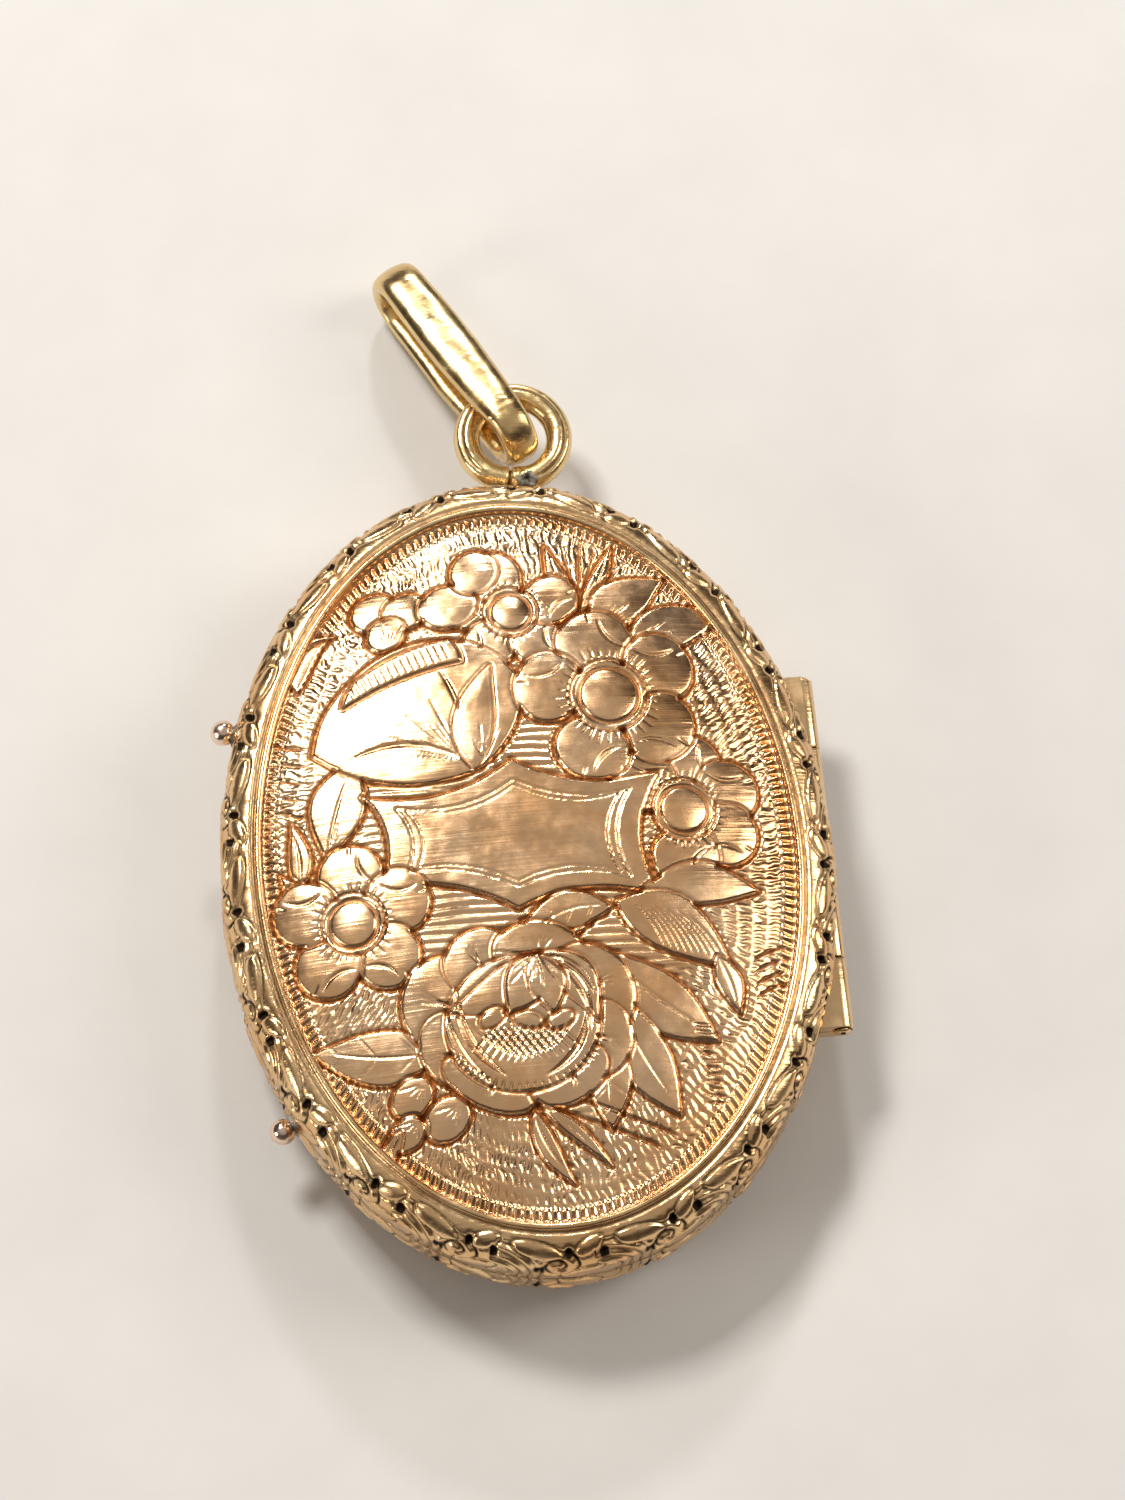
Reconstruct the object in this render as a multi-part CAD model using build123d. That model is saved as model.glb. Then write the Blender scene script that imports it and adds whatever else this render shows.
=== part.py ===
"""Oval hinged photo locket with a soldered top loop and a swinging bail, in millimetres.

The locket lies on its back: +Z is up through its thickness, +Y points to the bail and +X to the hinge.
The origin is the centre of the flat on the back, on the plane the locket rests on.
Each half is drawn about the parting plane first, the front above it and the back below it, and everything
is lifted by REST_TO_PARTING when it is written out.
"""
from build123d import *
from math import atan2, cos, degrees, hypot, pi, radians, sin
import os

# ---- Body oval -------------------------------------------------------------------------------------
HALF_WIDTH = 12.3
HALF_HEIGHT = 16.7
PARTING_GAP = 0.03            # each half stops this far short of the parting plane

# ---- Levels above the parting plane, the same in both halves ---------------------------------------
GLASS_FRAME_FACE = 0.38       # face of the retaining ring
GLASS_FACE = 0.65
CARD_FACE = 1.20
SEAT_FACE = 1.45
SEAT_BACK = 1.70              # underside of the ledge that carries the dome
DOME_LEDGE = 2.00
DOME_EDGE = 2.15
WALL_TOP = 0.95               # top of the upright outer wall, where the rounded shoulder starts
CREST = 2.30                  # top of the plain fillet round the dome
DOME_CROWN = 3.65             # highest point of an uncut dome
REST_TO_PARTING = 3.50        # the back dome is cut flat here, and the locket rests on that flat

# ---- Insets from the outer oval --------------------------------------------------------------------
FRONT_BORE_INSET = 0.85       # front wall, with running room for the closing lip
BACK_BORE_INSET = 0.90        # back wall, where the lip is soldered
LIP_INNER_INSET = 1.25
SHOULDER_INSET = 1.32         # crest of the shoulder, and the pocket of the retaining ring below it
DOME_SEAT_INSET = 1.62
LEDGE_INSET = 2.12
DOME_INSET = 1.64
RING_OUTER_INSET = 1.37
RING_INNER_INSET = 1.80
RING_WINDOW_INSET = 2.50
PANE_INSET = 1.83
FIT_GAP = 0.02                # gap between pieces that are laid into one another

# ---- Closing lip -----------------------------------------------------------------------------------
LIP_RISE = 0.60
LIP_ROOT = -0.72
LIP_BREAK_HALF = 9.0          # the lip is left out beside the hinge over this half length

# ---- Domes -----------------------------------------------------------------------------------------
DOME_POWER = 2.4              # 2 is a parabola, more is flatter in the middle
DOME_POINTS = 7
DOME_WALL = 0.40
DOME_RIM_WIDTH = 0.50

# ---- Hinge -----------------------------------------------------------------------------------------
HINGE_X = 11.95
HINGE_HALF = 7.5
KNUCKLE_COUNT = 5
KNUCKLE_GAP = 0.06
KNUCKLE_RADIUS = 0.45
SWING_CLEARANCE = 0.07        # round the other half's knuckles
PIN_RADIUS = 0.20
PIN_CLEARANCE = 0.03
PIN_HEAD_RADIUS = 0.33
PIN_HEAD_LENGTH = 0.14
BEARER_INNER_X = 11.02
BEARER_TOP = 0.66
BEARER_SETBACK = 0.05         # the bearers stop this far inside the hinge line

# ---- Thumb beads -----------------------------------------------------------------------------------
BEAD_RADIUS = 0.52
BEAD_STANDOFF = 0.56
BEAD_LEVEL = 0.60
BEAD_FOOT_RADIUS = 0.40
BEAD_NECK_RADIUS = 0.30
FRONT_BEAD_Y = 6.9
BACK_BEAD_Y = -9.3

# ---- Top loop and bail -----------------------------------------------------------------------------
LOOP_AT_X = 1.0               # the loop is soldered a little to the hinge side of the top
LOOP_LEVEL = -0.60
LOOP_RADIUS = 1.92
LOOP_WIRE_RADIUS = 0.54
LOOP_GAP = 0.38
SEAT_WIDTH = 2.0
SEAT_DEPTH = 0.62
SEAT_TOP = -0.12
BAIL_LEAN = 28.0              # degrees from +Y towards -X
BAIL_DROOP = 10.0             # degrees the far end hangs down when the locket lies on its back
BAIL_LENGTH = 10.8
BAIL_NEAR_END = -3.05         # along the bail, measured from where it hooks over the loop's wire
BAIL_DEPTH = 3.3
BAIL_STOCK = 0.86             # thickness of the bail's band
BAIL_NEAR_WIDTH = 1.44
BAIL_MID_WIDTH = 2.06
BAIL_FAR_WIDTH = 1.86
BAIL_MID_AT = 2.2


def oval(inset, level):
    """The body's oval outline, pulled in by inset, at a level."""
    return Plane.XY.offset(level) * Ellipse(HALF_WIDTH - inset, HALF_HEIGHT - inset)


def oval_plate(inset, low, high):
    """A solid oval plate between two levels."""
    return extrude(oval(inset, low), amount=high - low)


def oval_ring(outer_inset, inner_inset, low, high):
    """A flat-sided oval ring between two levels."""
    return oval_plate(outer_inset, low, high) - oval_plate(inner_inset, low, high)


def block(x_range, y_range, z_range):
    """A box between pairs of limits."""
    size = [high - low for low, high in (x_range, y_range, z_range)]
    middle = [(high + low) / 2 for low, high in (x_range, y_range, z_range)]
    return Pos(*middle) * Box(*size)


def lower(shape):
    """The same piece for the back half: a mirror image in the parting plane."""
    return mirror(shape, about=Plane.XY)


# ---- Rims and domes --------------------------------------------------------------------------------
def shoulder_outline(steps=4):
    """Inset and level of the shoulder, a quarter of an oval from the wall to the crest."""
    rise = CREST - WALL_TOP
    angles = [pi / 2 * k / steps for k in range(steps + 1)]
    return [(SHOULDER_INSET * (1 - cos(t)), WALL_TOP + rise * sin(t)) for t in angles]


def rim(bore_inset):
    """One half's rim: upright wall, rounded shoulder, fillet round the dome, and steps inside for what it holds."""
    outline = [(0.0, PARTING_GAP)] + shoulder_outline()
    body = loft([oval(inset, level) for inset, level in outline], ruled=True)
    steps = [
        (bore_inset, PARTING_GAP, WALL_TOP),
        (SHOULDER_INSET, WALL_TOP, SEAT_BACK),
        (LEDGE_INSET, SEAT_BACK, DOME_LEDGE),
        (DOME_SEAT_INSET, DOME_LEDGE, CREST),
    ]
    for inset, low, high in steps:
        body -= oval_plate(inset, low, high)
    return body - block((BEARER_INNER_X, HALF_WIDTH + 1), (-HINGE_HALF, HINGE_HALF), (0, BEARER_TOP))


def dome_curve(radius, base, crown):
    """Points of a dome's section from its edge to its middle."""
    fractions = [1 - k / (DOME_POINTS - 1) for k in range(DOME_POINTS)]
    return [(radius * f, base + (crown - base) * (1 - f ** DOME_POWER)) for f in fractions]


def dome():
    """A thin oval dome with a flat rim that sits on the ledge."""
    long_radius = HALF_HEIGHT - DOME_INSET
    outer = dome_curve(long_radius, DOME_EDGE, DOME_CROWN)
    inner = dome_curve(long_radius - DOME_RIM_WIDTH, DOME_LEDGE, DOME_CROWN - DOME_WALL)
    section = make_face([
        Spline([(r, 0, z) for r, z in outer]),
        Line((*outer[-1][:1], 0, outer[-1][1]), (*inner[-1][:1], 0, inner[-1][1])),
        Spline([(r, 0, z) for r, z in reversed(inner)]),
        Line((inner[0][0], 0, inner[0][1]), (long_radius, 0, DOME_LEDGE)),
        Line((long_radius, 0, DOME_LEDGE), (long_radius, 0, DOME_EDGE)),
    ])
    round_dome = revolve(section, axis=Axis.Z)
    narrowing = (HALF_WIDTH - DOME_INSET) / long_radius
    return scale(round_dome, by=(narrowing, 1, 1))


def back_dome():
    """The back's dome, with the flat that the locket rests on."""
    below = block((-HALF_WIDTH, HALF_WIDTH), (-HALF_HEIGHT, HALF_HEIGHT), (-DOME_CROWN - 1, -REST_TO_PARTING))
    return lower(dome()) - below


def closing_lip():
    """Thin wall inside the back rim that the front rim closes over."""
    ring = oval_ring(BACK_BORE_INSET, LIP_INNER_INSET, LIP_ROOT, LIP_RISE)
    gap = block((0, HALF_WIDTH), (-LIP_BREAK_HALF, LIP_BREAK_HALF), (LIP_ROOT, LIP_RISE))
    return ring - gap


# ---- What each half holds --------------------------------------------------------------------------
def photo_seat():
    return oval_plate(SHOULDER_INSET + FIT_GAP, SEAT_FACE, SEAT_BACK)


def photo_card():
    return oval_plate(PANE_INSET, CARD_FACE, SEAT_FACE)


def glass():
    return oval_plate(PANE_INSET, GLASS_FACE, CARD_FACE - FIT_GAP)


def retaining_ring():
    """Ring of angle section: a wall round the glass and a flange over its edge."""
    wall = oval_ring(RING_OUTER_INSET, RING_INNER_INSET, GLASS_FRAME_FACE, SEAT_FACE - FIT_GAP)
    flange = oval_ring(RING_OUTER_INSET, RING_WINDOW_INSET, GLASS_FRAME_FACE, GLASS_FACE - FIT_GAP)
    return wall + flange


# ---- Hinge -----------------------------------------------------------------------------------------
def along_hinge(radius, low, high):
    """A round bar on the hinge line between two places along it."""
    turned = Pos(HINGE_X, (low + high) / 2, 0) * Rot(90, 0, 0)
    return turned * Cylinder(radius, high - low)


def knuckle_span(index):
    """Where knuckle number index lies along the hinge, counted from the bottom."""
    pitch = 2 * HINGE_HALF / KNUCKLE_COUNT
    start = -HINGE_HALF + index * pitch
    return start + KNUCKLE_GAP / 2, start + pitch - KNUCKLE_GAP / 2


def knuckle(index, bore_radius):
    low, high = knuckle_span(index)
    return along_hinge(KNUCKLE_RADIUS, low, high) - along_hinge(bore_radius, low, high)


def bearer(own):
    """Bar that carries one half's knuckles, hollowed along the hinge line."""
    bar = block((BEARER_INNER_X, HINGE_X - BEARER_SETBACK), (-HINGE_HALF, HINGE_HALF), (PARTING_GAP, BEARER_TOP))
    pitch = 2 * HINGE_HALF / KNUCKLE_COUNT
    for index in range(KNUCKLE_COUNT):
        start = -HINGE_HALF + index * pitch
        hollow = KNUCKLE_RADIUS if index in own else KNUCKLE_RADIUS + SWING_CLEARANCE
        bar -= along_hinge(hollow, start, start + pitch)
    return bar


def hinge_pin():
    """Pin through all the knuckles, with a small riveted head at each end."""
    pin = along_hinge(PIN_RADIUS, -HINGE_HALF, HINGE_HALF)
    pin += along_hinge(PIN_HEAD_RADIUS, HINGE_HALF, HINGE_HALF + PIN_HEAD_LENGTH)
    pin += along_hinge(PIN_HEAD_RADIUS, -HINGE_HALF - PIN_HEAD_LENGTH, -HINGE_HALF)
    return pin


# ---- Pieces soldered to the rims -------------------------------------------------------------------
def rim_point(x, y):
    """A point on the outer oval and the outward direction there, as (x, y, nx, ny)."""
    nx, ny = x / HALF_WIDTH ** 2, y / HALF_HEIGHT ** 2
    length = hypot(nx, ny)
    return x, y, nx / length, ny / length


def left_rim_point(y):
    return rim_point(-HALF_WIDTH * (1 - (y / HALF_HEIGHT) ** 2) ** 0.5, y)


def thumb_bead(y, level):
    """Round bead for the thumbnail, on a short tapered foot that stands on the rim's wall."""
    x, y, nx, ny = left_rim_point(y)
    meet = (BEAD_RADIUS ** 2 - BEAD_NECK_RADIUS ** 2) ** 0.5
    section = make_face([
        Line((0, 0), (0, BEAD_FOOT_RADIUS)),
        Line((0, BEAD_FOOT_RADIUS), (BEAD_STANDOFF - meet, BEAD_NECK_RADIUS)),
        ThreePointArc((BEAD_STANDOFF - meet, BEAD_NECK_RADIUS), (BEAD_STANDOFF, BEAD_RADIUS), (BEAD_STANDOFF + BEAD_RADIUS, 0)),
        Line((BEAD_STANDOFF + BEAD_RADIUS, 0), (0, 0)),
    ])
    bead = revolve(section, axis=Axis.X)
    return Pos(x, y, level) * Rot(0, 0, degrees(atan2(ny, nx))) * bead


def loop_place():
    """The loop's centre and the direction from the rim to it."""
    y = HALF_HEIGHT * (1 - (LOOP_AT_X / HALF_WIDTH) ** 2) ** 0.5
    x, y, nx, ny = rim_point(LOOP_AT_X, y)
    reach = LOOP_RADIUS + LOOP_WIRE_RADIUS + LOOP_GAP
    return (x, y), (x + nx * reach, y + ny * reach), degrees(atan2(ny, nx))


def bail_loop():
    _, (x, y), _ = loop_place()
    return Pos(x, y, LOOP_LEVEL) * Torus(LOOP_RADIUS, LOOP_WIRE_RADIUS)


def loop_seat():
    """Solder that joins the loop to the back rim."""
    (x, y), _, heading = loop_place()
    middle = (SEAT_TOP - WALL_TOP) / 2
    slab = Pos(x, y, middle) * Rot(0, 0, heading) * Box(2 * SEAT_DEPTH, SEAT_WIDTH, WALL_TOP + SEAT_TOP)
    slab -= oval_plate(0, -WALL_TOP - 1, 0)
    return slab - bail_loop()


def bail():
    """Long closed ring of band, narrower where it passes through the loop."""
    _, (x, y), _ = loop_place()
    middle = BAIL_NEAR_END + BAIL_LENGTH / 2
    far_end = BAIL_NEAR_END + BAIL_LENGTH
    side = Plane.XZ.offset(-BAIL_MID_WIDTH) * Pos(middle, 0)
    outer = side * SlotOverall(BAIL_LENGTH, BAIL_DEPTH)
    inner = side * SlotOverall(BAIL_LENGTH - 2 * BAIL_STOCK, BAIL_DEPTH - 2 * BAIL_STOCK)
    band = extrude(outer - inner, amount=2 * BAIL_MID_WIDTH)
    widths = [(BAIL_NEAR_END, BAIL_NEAR_WIDTH), (BAIL_MID_AT, BAIL_MID_WIDTH), (far_end, BAIL_FAR_WIDTH)]
    upper_edge = [(along, width / 2) for along, width in widths]
    lower_edge = [(along, -half) for along, half in reversed(upper_edge)]
    plan = Plane.XY.offset(-BAIL_DEPTH) * make_face(Polyline(upper_edge + lower_edge, close=True))
    ring = band & extrude(plan, amount=2 * BAIL_DEPTH)
    hook = Pos(LOOP_RADIUS, 0, 0) * Rot(0, BAIL_DROOP, 0)
    return Pos(x, y, LOOP_LEVEL) * Rot(0, 0, 90 + BAIL_LEAN) * hook * ring


# ---- The assembly ----------------------------------------------------------------------------------
def build():
    """Every node of the locket, drawn about the parting plane."""
    front_own = [k for k in range(KNUCKLE_COUNT) if k % 2]
    back_own = [k for k in range(KNUCKLE_COUNT) if not k % 2]
    nodes = {
        "front_dome": dome(),
        "front_rim": rim(FRONT_BORE_INSET),
        "front_photo_seat": photo_seat(),
        "front_photo_card": photo_card(),
        "front_glass": glass(),
        "front_retaining_ring": retaining_ring(),
        "front_hinge_bearer": bearer(front_own),
        "front_thumb_bead": thumb_bead(FRONT_BEAD_Y, BEAD_LEVEL),
        "back_dome": back_dome(),
        "back_rim": lower(rim(BACK_BORE_INSET)),
        "back_photo_seat": lower(photo_seat()),
        "back_photo_card": lower(photo_card()),
        "back_glass": lower(glass()),
        "back_retaining_ring": lower(retaining_ring()),
        "back_hinge_bearer": lower(bearer(back_own)),
        "back_thumb_bead": thumb_bead(BACK_BEAD_Y, -BEAD_LEVEL),
        "closing_lip": closing_lip(),
        "hinge_pin": hinge_pin(),
        "bail_loop": bail_loop(),
        "loop_seat": loop_seat(),
        "bail": bail(),
    }
    for index in front_own:
        nodes[f"front_knuckle_{index + 1}"] = knuckle(index, PIN_RADIUS + PIN_CLEARANCE)
    for index in back_own:
        nodes[f"back_knuckle_{index + 1}"] = knuckle(index, PIN_RADIUS)
    return nodes


os.makedirs("parts", exist_ok=True)
for name, shape in build().items():
    export_step(Pos(0, 0, REST_TO_PARTING) * shape, f"parts/{name}.step")
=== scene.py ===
import math

import bpy
import numpy as np
from mathutils import Matrix, Vector


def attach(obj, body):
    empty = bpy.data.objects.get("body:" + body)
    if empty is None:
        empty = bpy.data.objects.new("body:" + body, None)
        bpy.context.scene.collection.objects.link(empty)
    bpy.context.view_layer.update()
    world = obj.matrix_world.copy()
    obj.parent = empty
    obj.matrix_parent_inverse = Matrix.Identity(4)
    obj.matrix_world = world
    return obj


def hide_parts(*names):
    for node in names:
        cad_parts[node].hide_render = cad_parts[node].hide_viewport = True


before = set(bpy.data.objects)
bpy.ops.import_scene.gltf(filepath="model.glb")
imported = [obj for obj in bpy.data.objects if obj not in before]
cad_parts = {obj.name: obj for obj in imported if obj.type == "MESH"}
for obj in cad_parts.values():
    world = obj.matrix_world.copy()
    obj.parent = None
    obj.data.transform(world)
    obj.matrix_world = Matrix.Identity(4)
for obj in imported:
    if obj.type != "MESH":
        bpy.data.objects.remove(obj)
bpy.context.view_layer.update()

# All lengths below are millimetres. Levels are measured from the parting plane between the two halves.
MM = 0.001
REST = 3.50
HALF_WIDTH, HALF_HEIGHT = 12.3, 16.7
DOME_INSET = 1.64
DOME_A, DOME_B = HALF_WIDTH - DOME_INSET, HALF_HEIGHT - DOME_INSET
DOME_EDGE, DOME_CROWN, DOME_POWER, DOME_LEDGE = 2.15, 3.65, 2.4, 2.00
HINGE_X, HINGE_HALF = 11.95, 7.5
BEARER_INNER_X, BEARER_TOP = 11.02, 0.66


# ---- Noise, shaping and mesh helpers ---------------------------------------------------------------
def smooth(low, high, value):
    """Eases from 0 at low to 1 at high."""
    t = np.clip((value - low) / (high - low), 0, 1)
    return t * t * (3 - 2 * t)


class Noise:
    """Smooth value noise on a seeded lattice, from -1 to 1."""

    def __init__(self, seed, size=64):
        self.size = size
        self.table = np.random.default_rng(seed).uniform(-1, 1, (size, size))

    def __call__(self, x, y):
        x0, y0 = np.floor(x).astype(int), np.floor(y).astype(int)
        fx, fy = smooth(0, 1, x - x0), smooth(0, 1, y - y0)
        n, t = self.size, self.table
        low = t[x0 % n, y0 % n] * (1 - fx) + t[(x0 + 1) % n, y0 % n] * fx
        high = t[x0 % n, (y0 + 1) % n] * (1 - fx) + t[(x0 + 1) % n, (y0 + 1) % n] * fx
        return low * (1 - fy) + high * fy


def add_mesh(name, verts, faces, body, replaced=(), material=None, smooth_shading=True, **attributes):
    """A piece from vertices in millimetres about the parting plane, riding on a CAD body."""
    mesh = bpy.data.meshes.new(name)
    placed = (np.asarray(verts, float) + [0, 0, REST]) * MM
    mesh.from_pydata(placed.tolist(), [], [list(map(int, f)) for f in faces])
    mesh.validate()
    for key, values in attributes.items():
        layer = mesh.attributes.new(key, "FLOAT", "POINT")
        layer.data.foreach_set("value", np.asarray(values, np.float32).ravel())
    mesh.polygons.foreach_set("use_smooth", [smooth_shading] * len(mesh.polygons))
    mesh.update()
    obj = bpy.data.objects.new(name, mesh)
    bpy.context.scene.collection.objects.link(obj)
    if material:
        mesh.materials.append(material)
    if replaced:
        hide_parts(*replaced)
    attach(obj, body)
    return obj


def grid_faces(rows, columns, wrap_rows=False, wrap_columns=False, flip=False):
    """Quads over a grid of vertices stored row by row."""
    r = np.arange(rows if wrap_rows else rows - 1)
    c = np.arange(columns if wrap_columns else columns - 1)
    r, c = np.meshgrid(r, c, indexing="ij")
    r2, c2 = (r + 1) % rows, (c + 1) % columns
    quads = np.stack([r * columns + c, r * columns + c2, r2 * columns + c2, r2 * columns + c], -1)
    quads = quads.reshape(-1, 4)
    return quads[:, ::-1] if flip else quads


# ---- Relief: a height drawn over scattered points --------------------------------------------------
class Relief:
    """Heights, and grime with painted shade in the cuts, over points in the plan of a dome."""

    EDGE = 0.07

    def __init__(self, x, y, ground):
        self.x, self.y = x, y
        self.h = ground.copy()
        self.grime_and_shade = np.zeros_like(x)

    def near(self, cx, cy, radius):
        index = np.flatnonzero((abs(self.x - cx) < radius) & (abs(self.y - cy) < radius))
        return index, self.x[index], self.y[index]

    def lay(self, index, distance, level, pillow=0.0, width=0.8, groove=0.07):
        """Lays a flat or pillowed shape over what is below, with a narrow groove round it.

        distance is negative inside the shape.
        """
        inside = smooth(self.EDGE, -self.EDGE, distance)
        depth = np.clip(-distance / width, 0, 1)
        top = level + 0.55 * pillow * (1 - (1 - depth) ** 2)
        rim = np.exp(-((distance - 0.09) / 0.07) ** 2)
        self.h[index] = self.h[index] * (1 - inside) + top * inside - groove * rim
        # grime with painted shade darkens the groove round the shape
        self.grime_and_shade[index] = self.grime_and_shade[index] * (1 - inside) + 0.9 * rim

    def cut(self, x0, y0, x1, y1, width=0.16, depth=0.09, bow=0.0, blunt=0.6, lean=0.0):
        """A tapered V-cut from one point to another.

        bow pushes its middle to the left; lean slants its floor.
        """
        dx, dy = x1 - x0, y1 - y0
        length = math.hypot(dx, dy)
        index, x, y = self.near((x0 + x1) / 2, (y0 + y1) / 2, length / 2 + abs(bow) + width + 0.1)
        t = ((x - x0) * dx + (y - y0) * dy) / length ** 2
        across = (-(x - x0) * dy + (y - y0) * dx) / length
        tc = np.clip(t, 0, 1)
        across = across - bow * 4 * tc * (1 - tc)
        half = 0.5 * width * np.sin(np.pi * np.clip(tc, 0.001, 0.999)) ** blunt + 1e-4
        side = across / half
        profile = np.clip(1 - abs(side - lean) / (1 + lean * np.sign(side - lean) * -1), 0, 1)
        profile = np.where((t > 0) & (t < 1) & (abs(side) < 1), profile, 0)
        taper = np.sin(np.pi * np.clip(tc, 0.001, 0.999)) ** (blunt * 0.6)
        self.h[index] -= depth * profile * taper
        # grime with painted shade darkens the floor of the cut
        self.grime_and_shade[index] = np.maximum(self.grime_and_shade[index], 0.55 * profile)

    def ellipse(self, cx, cy, ra, rb, turn, level, pillow=0.0, groove=0.07, width=0.8):
        c, s = math.cos(turn), math.sin(turn)
        index, x, y = self.near(cx, cy, max(ra, rb) + 0.5)
        u = ((x - cx) * c + (y - cy) * s) / ra
        v = (-(x - cx) * s + (y - cy) * c) / rb
        distance = (np.hypot(u, v) - 1) * min(ra, rb)
        self.lay(index, distance, level, pillow, width, groove)

    def polygon(self, points, level, pillow=0.0, groove=0.07, width=0.8):
        points = np.asarray(points, float)
        middle = (points.max(0) + points.min(0)) / 2
        reach = float((points.max(0) - points.min(0)).max()) / 2 + 0.5
        index, x, y = self.near(*middle, reach)
        best = np.full(x.shape, 1e9)
        inside = np.zeros(x.shape, bool)
        for (ax, ay), (bx, by) in zip(points, np.roll(points, -1, 0)):
            ex, ey = bx - ax, by - ay
            if math.hypot(ex, ey) < 1e-6:
                continue
            t = np.clip(((x - ax) * ex + (y - ay) * ey) / (ex * ex + ey * ey), 0, 1)
            best = np.minimum(best, np.hypot(x - ax - t * ex, y - ay - t * ey))
            if by != ay:
                inside ^= ((ay > y) != (by > y)) & (x < ex * (y - ay) / ey + ax)
        distance = np.where(inside, -best, best)
        self.lay(index, distance, level, pillow, width, groove)
        return index, distance

    def leaf(self, x0, y0, x1, y1, width, bow=0.0, level=0.0, pillow=0.06, vein=True, ribs=0, fat=0.8):
        """A leaf from stalk to tip, with a middle vein and side ribs cut in."""
        dx, dy = x1 - x0, y1 - y0
        length = math.hypot(dx, dy)
        ux, uy = dx / length, dy / length
        outline = []
        for side in (1, -1):
            for t in np.linspace(0, 1, 14)[:: side]:
                half = 0.5 * width * math.sin(math.pi * min(max(t, 0.0), 1.0) ** fat)
                off = side * half + bow * 4 * t * (1 - t)
                outline.append((x0 + dx * t - uy * off, y0 + dy * t + ux * off))
        self.polygon(outline, level, pillow, width=width / 2)
        if vein:
            self.cut(x0, y0, x0 + dx * 0.85, y0 + dy * 0.85, 0.13, 0.07, bow * 0.9)
        for k in range(ribs):
            t = 0.18 + 0.6 * k / max(ribs - 1, 1)
            for side in (1, -1):
                off = bow * 4 * t * (1 - t)
                sx, sy = x0 + dx * t - uy * off, y0 + dy * t + ux * off
                reach = 0.42 * width * math.sin(math.pi * t ** fat)
                tip_x = sx + ux * reach * 0.9 - side * uy * reach
                tip_y = sy + uy * reach * 0.9 + side * ux * reach
                self.cut(sx, sy, tip_x, tip_y, 0.09, 0.045)

    def fan(self, x, y, heading, spread, count, start, length, width=0.09, depth=0.06):
        """Cuts spreading from a point."""
        for k in range(count):
            angle = heading + spread * (k / (count - 1) - 0.5)
            reach = length * (0.75 + 0.25 * math.cos(2.1 * k))
            c, s = math.cos(angle), math.sin(angle)
            self.cut(x + c * start, y + s * start, x + c * reach, y + s * reach, width, depth)

    def ticks(self, cx, cy, inner, outer, count, skip=()):
        """Short cuts standing round a boss."""
        for k in range(count):
            angle = 2 * math.pi * k / count
            if any(low < angle < high for low, high in skip):
                continue
            c, s = math.cos(angle), math.sin(angle)
            reach = outer * (1 + 0.06 * math.sin(5.3 * k))
            self.cut(cx + c * inner, cy + s * inner, cx + c * reach, cy + s * reach, 0.10, 0.06)


def flower(relief, cx, cy, boss, reach, petals, along=1.3, across=1.2, ticks=26):
    """Round-petalled flower with a domed boss ringed by ticks. petals are headings in degrees."""
    for number, heading in enumerate(petals):
        angle = math.radians(heading)
        c, s = math.cos(angle), math.sin(angle)
        px, py = cx + c * reach, cy + s * reach
        relief.ellipse(px, py, along, across, angle, 0.02, 0.10, width=0.7)
        # a slanting crescent cut shades one side of the petal, and a nick splits its lip
        turn = 1 if number % 2 else -1
        ex, ey = -s * turn, c * turn
        relief.cut(px + c * along * 0.75 + ex * across * 0.25, py + s * along * 0.75 + ey * across * 0.25,
                   px - c * along * 0.35 + ex * across * 0.80, py - s * along * 0.35 + ey * across * 0.80,
                   0.22, 0.09, bow=0.28 * turn)
        relief.cut(px + c * along * 1.02, py + s * along * 1.02,
                   px + c * along * 0.62, py + s * along * 0.62, 0.16, 0.07)
    relief.ellipse(cx, cy, boss * 1.12, boss * 1.12, 0, 0.0, 0.0, groove=0.09)
    relief.ellipse(cx, cy, boss * 0.86, boss * 0.86, 0, 0.03, 0.16, groove=0.10, width=boss * 0.8)
    relief.ticks(cx, cy, boss * 1.10, boss * 1.62, ticks)


def arc_points(corners, bows, steps=10):
    """A closed outline through corners, each side bowed to its left by the amount given."""
    points = []
    for (ax, ay), (bx, by), bow in zip(corners, corners[1:] + corners[:1], bows):
        length = math.hypot(bx - ax, by - ay)
        nx, ny = -(by - ay) / length, (bx - ax) / length
        for k in range(steps):
            t = k / steps
            off = bow * 4 * t * (1 - t)
            points.append((ax + (bx - ax) * t + nx * off, ay + (by - ay) * t + ny * off))
    return points


# ---- The domes -------------------------------------------------------------------------------------
ARC_ANGLES = np.linspace(-math.pi, math.pi, 2001)
ARC_STEPS = np.hypot(np.diff(DOME_A * np.cos(ARC_ANGLES)), np.diff(DOME_B * np.sin(ARC_ANGLES)))
ARC_LENGTH = np.concatenate([[0], np.cumsum(ARC_STEPS)])


def edge_coordinates(x, y):
    """Distance in from a dome's edge, and place along that edge."""
    share = np.hypot(x / DOME_A, y / DOME_B)
    slope = np.hypot(x / DOME_A ** 2, y / DOME_B ** 2) / np.maximum(share, 1e-6)
    inward = (1 - share) / np.maximum(slope, 1e-6)
    along = np.interp(np.arctan2(y / DOME_B, x / DOME_A), ARC_ANGLES, ARC_LENGTH)
    return inward, along


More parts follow.
